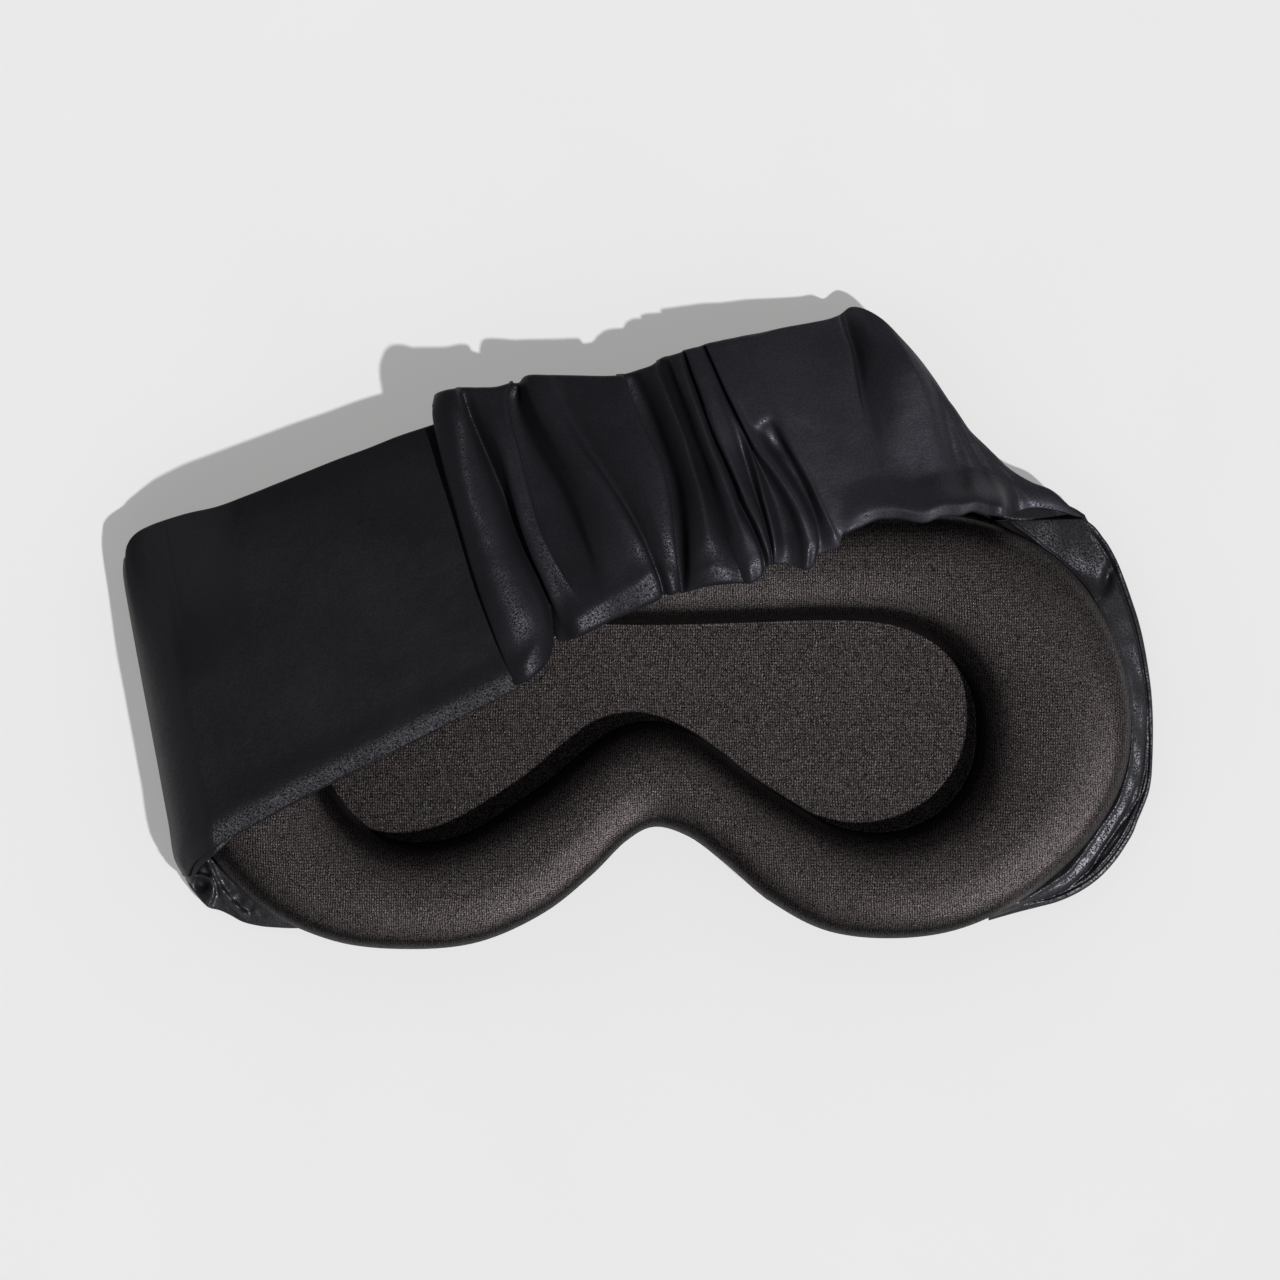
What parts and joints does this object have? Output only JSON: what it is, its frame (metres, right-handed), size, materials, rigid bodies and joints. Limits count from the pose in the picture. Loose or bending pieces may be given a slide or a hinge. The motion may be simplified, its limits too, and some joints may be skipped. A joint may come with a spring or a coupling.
{
  "type": "contoured sleep eye mask",
  "caption": "Contoured sleep eye mask with a moulded padded rim round a shared eye recess, a satin cover and a wide satin head strap with a gathered elastic sleeve.",
  "frame": {"origin": "on the flat outer face, on the centre line of the nose bridge, level with the middle of the eyes", "axes": "+Z from the outer face towards the wearer's face, +Y towards the brow, +X along the mask; the mask lies on its outer face with the strap folded over the pad"},
  "size_m": [0.258, 0.1585, 0.0258],
  "materials": {
    "satin": "smooth satin, soft sheen",
    "knit": "fine ribbed knit, matt",
    "foam": "moulded soft foam, matt",
    "wadding": "soft wadding",
    "blackout": "matt",
    "thread": "spun thread",
    "elastic": "woven elastic"
  },
  "bodies": {
    "mask": {"front_cover": "satin", "front_batting": "wadding", "blackout_liner": "blackout", "inner_facing": "satin", "recess_backing": "foam", "foam_rim": "foam", "face_lining": "knit", "pad_stitch": "thread", "left_wing": "satin", "right_wing": "satin", "left_wing_stitch": "thread", "right_wing_stitch": "thread"},
    "left_strap": {"left_strap_outer": "satin", "left_strap_inner": "satin", "left_strap_batting": "wadding"},
    "gather_left": {"gather_seam_left": "satin", "left_seam_stitch": "thread", "sleeve_outer": "satin", "sleeve_inner": "satin", "elastic_band": "elastic"},
    "gather_right": {"gather_seam_right": "satin", "right_seam_stitch": "thread"},
    "right_strap": {"right_strap_outer": "satin", "right_strap_inner": "satin", "right_strap_batting": "wadding"}
  },
  "joints": [
    {"name": "left_fold", "type": "hinge", "parent": "mask", "child": "left_strap", "pos_m": [-0.12375, 0.005, 0.005], "axis": [0.1821, -0.9833, 0], "range_deg": [0, 45]},
    {"name": "left_seam", "type": "hinge", "parent": "left_strap", "child": "gather_left", "pos_m": [-0.04376, 0.04422, 0.0229], "axis": [0.1821, -0.9833, 0], "range_deg": [-50.5, 0]},
    {"name": "elastic_stretch", "type": "slide", "parent": "gather_left", "child": "gather_right", "axis": [0.9833, 0.1821, 0], "range_m": [0, 0.069], "deforming": ["sleeve_outer", "sleeve_inner", "elastic_band"]},
    {"name": "right_seam", "type": "hinge", "parent": "gather_right", "child": "right_strap", "pos_m": [0.03083, 0.06821, 0.0229], "axis": [0.1821, -0.9833, 0], "range_deg": [-42, 0]}
  ],
  "couplings": [
    {"joint": "left_seam", "follows": "left_fold", "ratio": -1.094},
    {"joint": "elastic_stretch", "follows": "left_fold", "m_per_rad": 0.085504},
    {"joint": "right_seam", "follows": "left_fold", "ratio": -0.90603}
  ]
}
